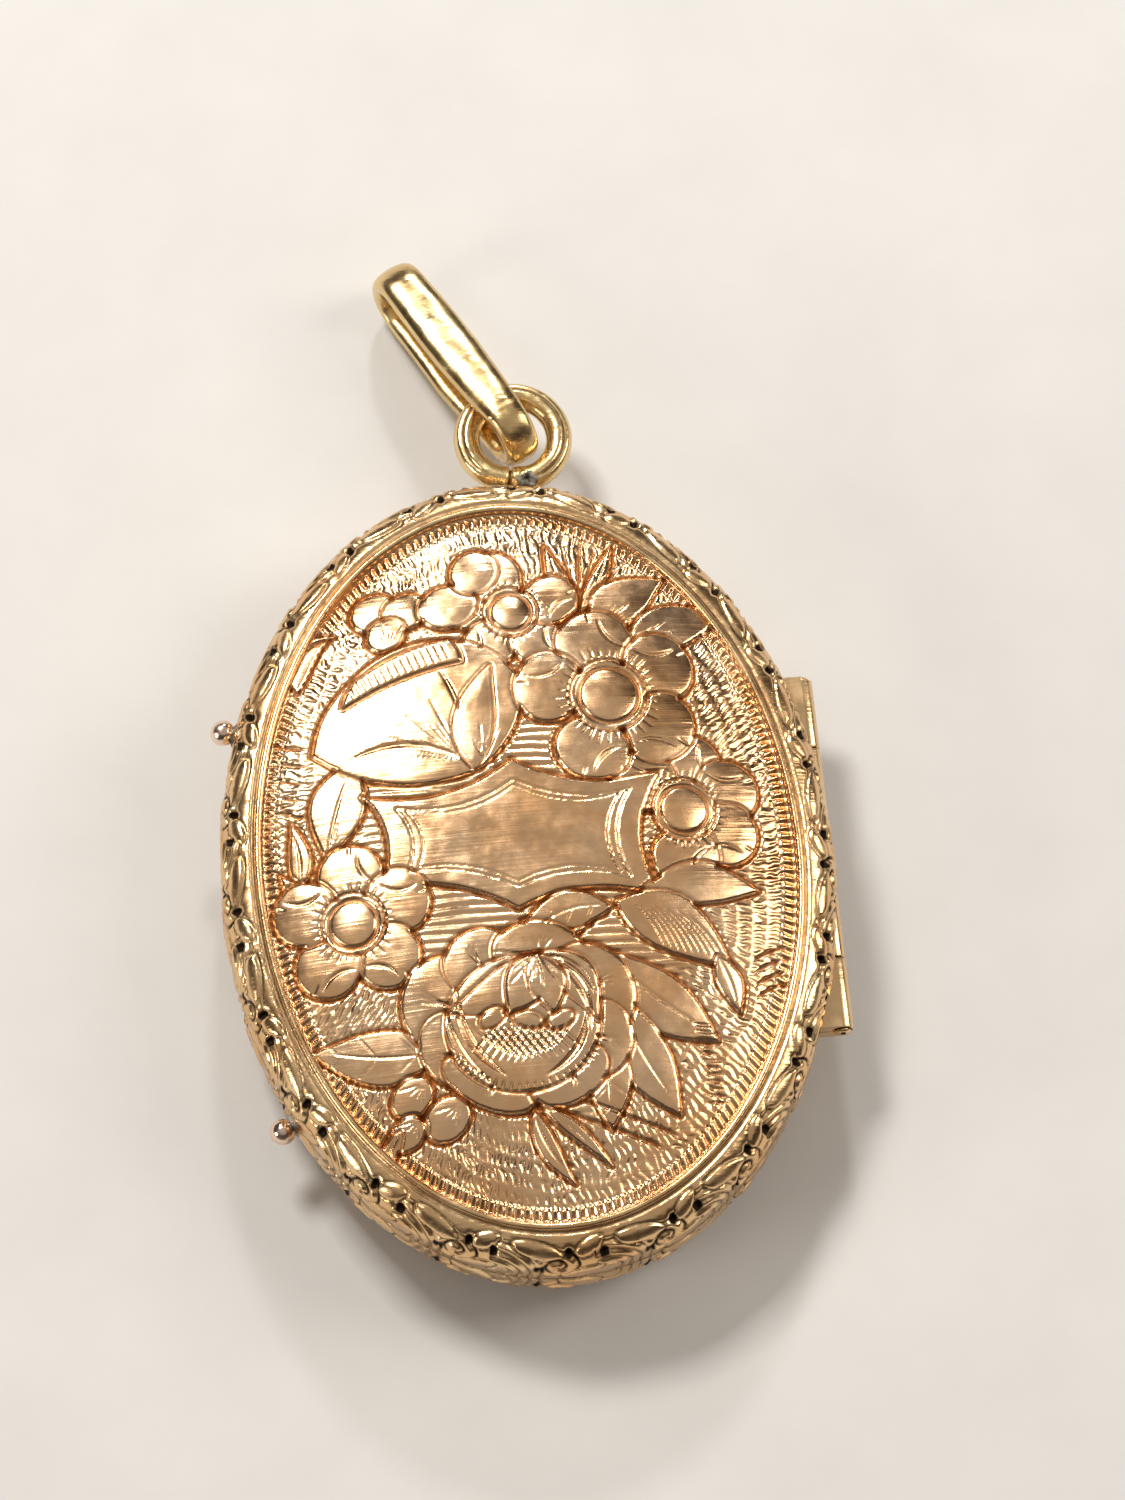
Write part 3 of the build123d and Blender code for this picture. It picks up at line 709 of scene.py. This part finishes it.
def solder_material():
    material, nodes, links, shader = new_material("old_solder")
    place = nodes.new("ShaderNodeTexCoord").outputs["Object"]
    spots = noise_node(nodes, links, place, 1800.0, 6.0, 0.7)
    color = ramp_node(nodes, links, spots, (0.35, (0.05, 0.045, 0.04)), (0.55, (0.35, 0.33, 0.28)),
                      (0.72, (0.75, 0.74, 0.68)))
    links.new(color, shader.inputs["Base Color"])
    shader.inputs["Metallic"].default_value = 0.85
    rough = ramp_node(nodes, links, spots, (0.3, (0.75, 0.75, 0.75)), (0.75, (0.28, 0.28, 0.28)))
    links.new(rough, shader.inputs["Roughness"])
    bump = nodes.new("ShaderNodeBump")
    bump.inputs["Strength"].default_value = 0.6
    bump.inputs["Distance"].default_value = 0.00015
    links.new(spots, bump.inputs["Height"])
    links.new(bump.outputs["Normal"], shader.inputs["Normal"])
    return material


def card_material():
    """Aged photo card with nothing printed on it but a soft brown vignette."""
    material, nodes, links, shader = new_material("photo_card_aged")
    place = nodes.new("ShaderNodeTexCoord").outputs["Object"]
    length = nodes.new("ShaderNodeVectorMath")
    length.operation = "LENGTH"
    links.new(place, length.inputs[0])
    away = math_node(nodes, links, "MULTIPLY", length.outputs["Value"], 70.0)
    mottled = noise_node(nodes, links, place, 300.0, 7.0, 0.65)
    value = math_node(nodes, links, "MULTIPLY_ADD", mottled, 0.5, away)
    color = ramp_node(nodes, links, value, (0.25, (0.52, 0.42, 0.29)), (0.75, (0.40, 0.29, 0.18)),
                      (1.0, (0.22, 0.14, 0.08)))
    links.new(color, shader.inputs["Base Color"])
    shader.inputs["Roughness"].default_value = 0.65
    fibres = noise_node(nodes, links, place, 4000.0, 3.0)
    bump = nodes.new("ShaderNodeBump")
    bump.inputs["Strength"].default_value = 0.15
    bump.inputs["Distance"].default_value = 0.00003
    links.new(fibres, bump.inputs["Height"])
    links.new(bump.outputs["Normal"], shader.inputs["Normal"])
    return material


def glass_material():
    material, nodes, links, shader = new_material("old_glass")
    place = nodes.new("ShaderNodeTexCoord").outputs["Object"]
    haze = noise_node(nodes, links, place, 500.0, 6.0, 0.6)
    rough = ramp_node(nodes, links, haze, (0.3, (0.01, 0.01, 0.01)), (0.8, (0.09, 0.09, 0.09)))
    links.new(rough, shader.inputs["Roughness"])
    shader.inputs["Transmission Weight"].default_value = 1.0
    shader.inputs["IOR"].default_value = 1.5
    tint = ramp_node(nodes, links, haze, (0.3, (0.97, 0.98, 0.96)), (0.8, (0.92, 0.94, 0.91)))
    links.new(tint, shader.inputs["Base Color"])
    return material


SOLDER, CARD, GLASS = solder_material(), card_material(), glass_material()

# ---- Covers and rims -------------------------------------------------------------------------------
front_grid = ((350, 490))
back_grid = ((290, 400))
dome_piece("front_dome_engraved", 1, front_motifs, 11, "front_cover", "front_dome", ROSE, *front_grid)
dome_piece("back_dome_engraved", -1, back_motifs, 41, "back_half", "back_dome", ROSE, *back_grid)
rim_piece("front_rim_chased", 1, 5, 0.85, "front_cover", "front_rim", ROSE_RIM)
rim_piece("back_rim_chased", -1, 8, 0.90, "back_half", "back_rim", ROSE_RIM)


# ---- Turned pieces: knuckles, pin and beads --------------------------------------------------------
def lathe(points, segments=48):
    """Vertices and faces of a closed turned solid round X, from (along, radius) points."""
    points = np.asarray(points, float)
    turn = np.linspace(0, 2 * math.pi, segments, endpoint=False)
    along = np.repeat(points[:, 0][:, None], segments, 1)
    radius = points[:, 1][:, None]
    verts = np.stack([along, radius * np.cos(turn), radius * np.sin(turn)], -1).reshape(-1, 3)
    faces = grid_faces(len(points), segments, False, True).tolist()
    faces.append(list(range(segments)))
    faces.append(list(range(len(points) * segments - 1, (len(points) - 1) * segments - 1, -1)))
    return verts, faces


def placed(verts, matrix):
    return np.array([matrix @ Vector(v) for v in verts])


def rounded_bar(length, radius, lip):
    """Section of a bar with rounded ends."""
    bend = [(lip * (1 - math.cos(a)), radius - lip + lip * math.sin(a))
            for a in np.linspace(0, math.pi / 2, 5)]
    return [(-length / 2 + a, r) for a, r in bend] + [(length / 2 - a, r) for a, r in reversed(bend)]


PITCH = 2 * HINGE_HALF / 5
for index in range(5):
    side = "front" if index % 2 else "back"
    verts, faces = lathe(rounded_bar(PITCH - 0.06, 0.45, 0.05))
    matrix = Matrix.Translation((HINGE_X, -HINGE_HALF + (index + 0.5) * PITCH, 0))
    matrix = matrix @ Matrix.Rotation(math.pi / 2, 4, "Z")
    node = f"{side}_knuckle_{index + 1}"
    body = "front_cover" if index % 2 else "back_half"
    add_mesh(node + "_worn", placed(verts, matrix), faces, body, (node,), HINGE)
pin_points = [(-7.64, 0.12), (-7.62, 0.26), (-7.54, 0.33), (-7.48, 0.33), (-7.48, 0.19),
              (7.48, 0.19), (7.48, 0.33), (7.54, 0.33), (7.62, 0.26), (7.64, 0.12)]
verts, faces = lathe(pin_points)
matrix = Matrix.Translation((HINGE_X, 0, 0)) @ Matrix.Rotation(math.pi / 2, 4, "Z")
add_mesh("hinge_pin_riveted", placed(verts, matrix), faces, "back_half", ("hinge_pin",), HINGE)


def bead_piece(name, y, level, body, node, solder_name):
    """Thumb bead on its foot, with a smear of solder at the rim."""
    x = -HALF_WIDTH * math.sqrt(1 - (y / HALF_HEIGHT) ** 2)
    nx, ny = x / HALF_WIDTH ** 2, y / HALF_HEIGHT ** 2
    scale = math.hypot(nx, ny)
    heading = math.atan2(ny / scale, nx / scale)
    radius, standoff = 0.52, 0.56
    ball = [(standoff - radius * math.cos(a), radius * math.sin(a)) for a in np.linspace(0, math.pi, 30)]
    neck = [(-0.03, 0.36), (0.02, 0.33), (0.07, 0.29)]
    points = neck + [(a, r) for a, r in ball if a > 0.12][:-1] + [(standoff + radius, 0.01)]
    verts, faces = lathe(points, 40)
    lumps = Noise(int(abs(y) * 10))
    verts[:, 1:] *= (1 + 0.03 * lumps(verts[:, 0] * 4 + 9, verts[:, 1] * 4 + 9))[:, None]
    matrix = Matrix.Translation((x, y, level)) @ Matrix.Rotation(heading, 4, "Z")
    add_mesh(name, placed(verts, matrix), faces, body, (node,), BEAD)
    turn = np.linspace(0, 2 * math.pi, 40, endpoint=False)
    rings = []
    for out, spread in ((-0.05, 0.56), (0.03, 0.50), (0.10, 0.42), (0.16, 0.33), (0.2, 0.24)):
        wobble = 1 + 0.16 * np.sin(3 * turn + y) + 0.08 * np.sin(7 * turn + 1.3 * y)
        reach = spread * wobble
        rings.append(np.stack([np.full_like(turn, out), reach * np.cos(turn), reach * np.sin(turn)], -1))
    collar = np.concatenate(rings)
    faces = grid_faces(5, 40, False, True).tolist() + [list(range(40)), list(range(199, 159, -1))]
    add_mesh(solder_name, placed(collar, matrix), faces, body, (), SOLDER)


bead_piece("front_thumb_bead_worn", 6.9, 0.60, "front_cover", "front_thumb_bead", "front_bead_solder")
bead_piece("back_thumb_bead_worn", -9.3, -0.60, "back_half", "back_thumb_bead", "back_bead_solder")

# ---- The loop, its solder and the bail -------------------------------------------------------------
LOOP_X = 1.0
LOOP_Y = HALF_HEIGHT * math.sqrt(1 - (LOOP_X / HALF_WIDTH) ** 2)
OUT_X, OUT_Y = LOOP_X / HALF_WIDTH ** 2, LOOP_Y / HALF_HEIGHT ** 2
OUT = math.atan2(OUT_Y, OUT_X)
LOOP_RADIUS = 1.92
WIRE_RADIUS = 0.54
LOOP_GAP = 0.38
LOOP_LEVEL = -0.60
REACH = LOOP_RADIUS + WIRE_RADIUS + LOOP_GAP
CENTRE = (LOOP_X + math.cos(OUT) * REACH, LOOP_Y + math.sin(OUT) * REACH, LOOP_LEVEL)


def loop_piece():
    """A ring of grooved wire whose ends meet at the bottom in a rough soldered joint."""
    count, section = 240, 48
    turn = np.linspace(0, 2 * math.pi, count, endpoint=False)
    around = np.linspace(0, 2 * math.pi, section, endpoint=False)
    turn, around = np.meshgrid(turn, around, indexing="ij")
    from_joint = (turn - (OUT + math.pi) + 0.06 + math.pi) % (2 * math.pi) - math.pi
    noise = Noise(77)
    radius = np.full_like(turn, WIRE_RADIUS)
    grooves = np.exp(-((around - 1.15) / 0.17) ** 2) + np.exp(-((around - 2 * math.pi + 1.15) / 0.17) ** 2)
    fade = smooth(0.35, 0.8, abs(from_joint))
    radius -= 0.085 * grooves * fade
    gap = np.exp(-(from_joint / 0.035) ** 2)
    radius -= 0.20 * gap
    lumps = np.exp(-((from_joint - 0.22) / 0.2) ** 2)
    radius += lumps * (0.03 + 0.05 * noise(turn * 30, around * 3))
    radius += 0.008 * noise(turn * 8, around * 2)
    ring = LOOP_RADIUS + radius * np.cos(around)
    flat = 1 - 0.06 * np.exp(-(from_joint / 0.6) ** 2)
    x = CENTRE[0] + ring * flat * np.cos(turn)
    y = CENTRE[1] + ring * flat * np.sin(turn)
    z = CENTRE[2] + radius * np.sin(around)
    tarnish = 0.5 * lumps * (0.5 + noise(turn * 25, around * 4))
    # the grooves are darkened with grime and painted shade; the joint gap is dark, and the solder lumps
    # tarnished
    cavity = np.clip(grooves * fade * 0.95 + gap + tarnish, 0, 1)
    verts = np.stack([x, y, z], -1).reshape(-1, 3)
    faces = grid_faces(count, section, True, True, flip=True)
    add_mesh("bail_loop_grooved", verts, faces, "back_half", ("bail_loop",), YELLOW, cavity=cavity)


def solder_blob(name, cx, cy, cz, size, turn, seed, replaced=()):
    """A lump of old solder: a ball pulled out and roughened."""
    rings, segments = 26, 44
    polar = np.linspace(0.02, math.pi - 0.02, rings)
    around = np.linspace(0, 2 * math.pi, segments, endpoint=False)
    polar, around = np.meshgrid(polar, around, indexing="ij")
    noise = Noise(seed)
    swell = 1 + 0.16 * noise(around * 2.2 + 9, polar * 2.4) + 0.07 * noise(around * 6 + 3, polar * 6)
    local = np.stack([np.sin(polar) * np.cos(around) * size[0], np.sin(polar) * np.sin(around) * size[1],
                      np.cos(polar) * size[2]], -1) * swell[..., None]
    matrix = Matrix.Translation((cx, cy, cz)) @ Matrix.Rotation(turn, 4, "Z")
    faces = grid_faces(rings, segments, False, True).tolist()
    faces += [list(range(segments - 1, -1, -1)), list(range((rings - 1) * segments, rings * segments))]
    add_mesh(name, placed(local.reshape(-1, 3), matrix), faces, "back_half", replaced, SOLDER)


def bail_piece():
    """A long ring of rounded band, wider in the middle, rubbed thin where it hangs on the loop, with painted
    shade along its edges and inside the loop.
    """
    length, depth, stock = 10.8, 3.3, 0.86
    near = -3.05
    half_run = (length - depth) / 2
    radius = (depth - stock) / 2
    run, bend = 2 * half_run, math.pi * radius
    total = 2 * (run + bend)
    count, section = 320, 36
    noise = Noise(301)
    points = []
    for d in np.linspace(0, total, count, endpoint=False):
        if d < run:
            points.append((-half_run + d, radius, 0, 1))
        elif d < run + bend:
            a = math.pi / 2 - (d - run) / radius
            points.append((half_run + radius * math.cos(a), radius * math.sin(a), math.cos(a), math.sin(a)))
        elif d < 2 * run + bend:
            points.append((half_run - (d - run - bend), -radius, 0, -1))
        else:
            a = -math.pi / 2 - (d - 2 * run - bend) / radius
            points.append((-half_run + radius * math.cos(a), radius * math.sin(a), math.cos(a), math.sin(a)))
    path = np.array(points)
    along = path[:, 0] + near + length / 2
    width = np.interp(along, [near, 2.2, near + length], [1.44, 2.06, 1.86])
    around = np.linspace(0, 2 * math.pi, section, endpoint=False)
    # rounded on the outside, nearly flat on the inside
    across = np.sign(np.cos(around)) * abs(np.cos(around)) ** 0.8
    proud = np.where(np.sin(around) > 0, abs(np.sin(around)) ** 0.85, -abs(np.sin(around)) ** 0.45)
    half_stock = stock / 2
    out = half_stock * proud[None, :] * np.where(proud > 0, 1.0, 0.92)[None, :]
    flat = np.zeros_like(out)
    dent = 0.022 * noise(np.linspace(0, 26, count)[:, None] + flat, 2 + 1.5 * across[None, :] + flat)
    out = out + np.where(proud[None, :] > 0, dent - 0.01, 0)
    x = along[:, None] + path[:, 2][:, None] * out
    z = path[:, 1][:, None] + path[:, 3][:, None] * out
    waver = 1 + 0.02 * noise(np.linspace(0, 18, count)[:, None] + flat, 5 + flat)
    y = 0.5 * width[:, None] * across[None, :] * waver
    hook = Matrix.Translation(CENTRE) @ Matrix.Rotation(math.radians(90 + 28), 4, "Z")
    hook = hook @ Matrix.Translation((LOOP_RADIUS, 0, 0)) @ Matrix.Rotation(math.radians(10), 4, "Y")
    verts = placed(np.stack([x, y, z], -1).reshape(-1, 3), hook)
    # painted shade along both side edges of the band's rounded face
    side_shade = np.exp(-((proud - 0.15) / 0.12) ** 2)[None, :] * 0.5 + 0.25
    # painted shade where the near end sits inside the loop
    loop_shade = np.where(along[:, None] < -1.2, 0.8, 0.2)
    tarnish = 0.12 + 0.25 * noise(np.linspace(0, 40, count)[:, None] + flat, around[None, :] * 2 + flat)
    cavity = np.clip(side_shade * loop_shade + tarnish, 0, 1)
    add_mesh("bail_band", verts, grid_faces(count, section, True, True, flip=True), "bail", ("bail",),
             YELLOW, cavity=cavity)


loop_piece()
bail_piece()
solder_blob("loop_seat_solder", LOOP_X, LOOP_Y + 0.18, -0.50, (1.15, 0.52, 0.40), OUT - math.pi / 2, 21,
            ("loop_seat",))
solder_blob("loop_joint_solder", CENTRE[0] + 0.38, CENTRE[1] - 1.98, -0.26, (0.50, 0.36, 0.30), 0.2, 33)

# ---- Glass -----------------------------------------------------------------------------------------
def pane_piece(name, side, body, node):
    """An oval pane with a ground edge, lying just clear of the card behind it."""
    turn = np.linspace(0, 2 * math.pi, 160, endpoint=False)
    section = [(1.93, 0.66), (1.86, 0.70), (1.85, 1.12), (1.90, 1.16)]
    rings = [np.stack([(HALF_WIDTH - inset) * np.cos(turn), (HALF_HEIGHT - inset) * np.sin(turn),
                       np.full_like(turn, level * side)], -1) for inset, level in section]
    faces = grid_faces(len(section), 160, False, True, flip=side < 0)
    ends = [list(range(160)), list(range(4 * 160 - 1, 3 * 160 - 1, -1))]
    if side > 0:
        ends = [end[::-1] for end in ends]
    add_mesh(name, np.concatenate(rings), faces.tolist() + ends, body, (node,), GLASS, smooth_shading=False)


pane_piece("front_glass_pane", 1, "front_cover", "front_glass")
pane_piece("back_glass_pane", -1, "back_half", "back_glass")

# ---- Pieces shown as they were made in CAD ---------------------------------------------------------
CAD_FINISH = {
    "front_photo_seat": INNER, "back_photo_seat": INNER,
    "front_retaining_ring": INNER, "back_retaining_ring": INNER,
    "closing_lip": INNER, "front_hinge_bearer": HINGE, "back_hinge_bearer": HINGE,
    "front_photo_card": CARD, "back_photo_card": CARD,
}
for node, material in CAD_FINISH.items():
    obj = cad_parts[node]
    obj.data.materials.clear()
    obj.data.materials.append(material)

# ---- Floor, light and camera -----------------------------------------------------------------------
def floor():
    material, nodes, links, shader = new_material("pale_floor")
    place = nodes.new("ShaderNodeTexCoord").outputs["Object"]
    grain = noise_node(nodes, links, place, 150.0, 4.0)
    color = ramp_node(nodes, links, grain, (0.3, (0.70, 0.69, 0.67)), (0.7, (0.74, 0.73, 0.71)))
    links.new(color, shader.inputs["Base Color"])
    shader.inputs["Roughness"].default_value = 0.9
    half = 0.6
    mesh = bpy.data.meshes.new("floor")
    corners = [(-half, -half, 0), (half, -half, 0), (half, half, 0), (-half, half, 0)]
    mesh.from_pydata(corners, [], [(0, 1, 2, 3)])
    mesh.materials.append(material)
    obj = bpy.data.objects.new("floor", mesh)
    bpy.context.scene.collection.objects.link(obj)
    return obj


def softbox(name, at, size, power, color):
    """An area light aimed at the locket. at and size are in metres."""
    light = bpy.data.lights.new(name, "AREA")
    light.shape = "RECTANGLE"
    light.size, light.size_y = size
    light.energy = power
    light.color = color
    obj = bpy.data.objects.new(name, light)
    obj.location = at
    obj.rotation_euler = (-Vector(at)).to_track_quat("-Z", "Y").to_euler()
    bpy.context.scene.collection.objects.link(obj)
    return obj


lights = [
    softbox("key", (-0.12, 0.20, 0.30), (0.10, 0.07), 0.95, (1.0, 0.97, 0.92)),
    softbox("fill", (0.26, 0.05, 0.22), (0.12, 0.20), 0.42, (1.0, 0.93, 0.85)),
    softbox("spark", (0.03, 0.30, 0.20), (0.03, 0.03), 0.30, (1.0, 1.0, 1.0)),
    softbox("low", (-0.28, -0.10, 0.12), (0.10, 0.10), 0.25, (1.0, 0.95, 0.88)),
]
floor()

bpy.context.scene.view_settings.view_transform = "Standard"
world = bpy.data.worlds.new("studio")
world.use_nodes = True
bpy.context.scene.world = world
where = world.node_tree.nodes.new("ShaderNodeTexCoord")
split = world.node_tree.nodes.new("ShaderNodeSeparateXYZ")
tone = world.node_tree.nodes.new("ShaderNodeValToRGB")
stops = ((0.0, (0.25, 0.22, 0.20)), (0.45, (0.06, 0.05, 0.045)), (0.70, (0.16, 0.13, 0.11)),
         (0.88, (0.70, 0.64, 0.56)), (1.0, (0.62, 0.58, 0.53)))
while len(tone.color_ramp.elements) < len(stops):
    tone.color_ramp.elements.new(0.5)
for element, (position, color) in zip(tone.color_ramp.elements, stops):
    element.position = position
    element.color = (*color, 1)
world.node_tree.links.new(where.outputs["Generated"], split.inputs[0])
world.node_tree.links.new(split.outputs["Z"], tone.inputs["Fac"])
world.node_tree.links.new(tone.outputs["Color"], world.node_tree.nodes["Background"].inputs["Color"])
world.node_tree.nodes["Background"].inputs["Strength"].default_value = 0.62

TILT, LEFT, ROLL = math.radians(20), math.radians(4), math.radians(6.1)
DISTANCE, VIEW_HEIGHT = 0.250, 0.0605
away = Vector((-math.sin(LEFT), -math.sin(TILT) * math.cos(LEFT), math.cos(TILT) * math.cos(LEFT)))
away.normalize()
up_flat = (Vector((0, 1, 0)) - away * away.y).normalized()
right_flat = up_flat.cross(away)
up = up_flat * math.cos(ROLL) + right_flat * math.sin(ROLL)
right = up.cross(away)
target = Vector((0, 0, REST * MM)) + right * 0.0014 + up * 0.0052
camera_data = bpy.data.cameras.new("camera")
camera_data.sensor_width = 36
camera_data.sensor_fit = "VERTICAL"
camera_data.sensor_height = 36
camera_data.lens = 36 * DISTANCE / VIEW_HEIGHT
camera_data.clip_start = 0.005
camera = bpy.data.objects.new("camera", camera_data)
turned = Matrix((right, up, away)).transposed().to_4x4()
camera.matrix_world = Matrix.Translation(target + away * DISTANCE) @ turned
bpy.context.scene.collection.objects.link(camera)
bpy.context.scene.camera = camera
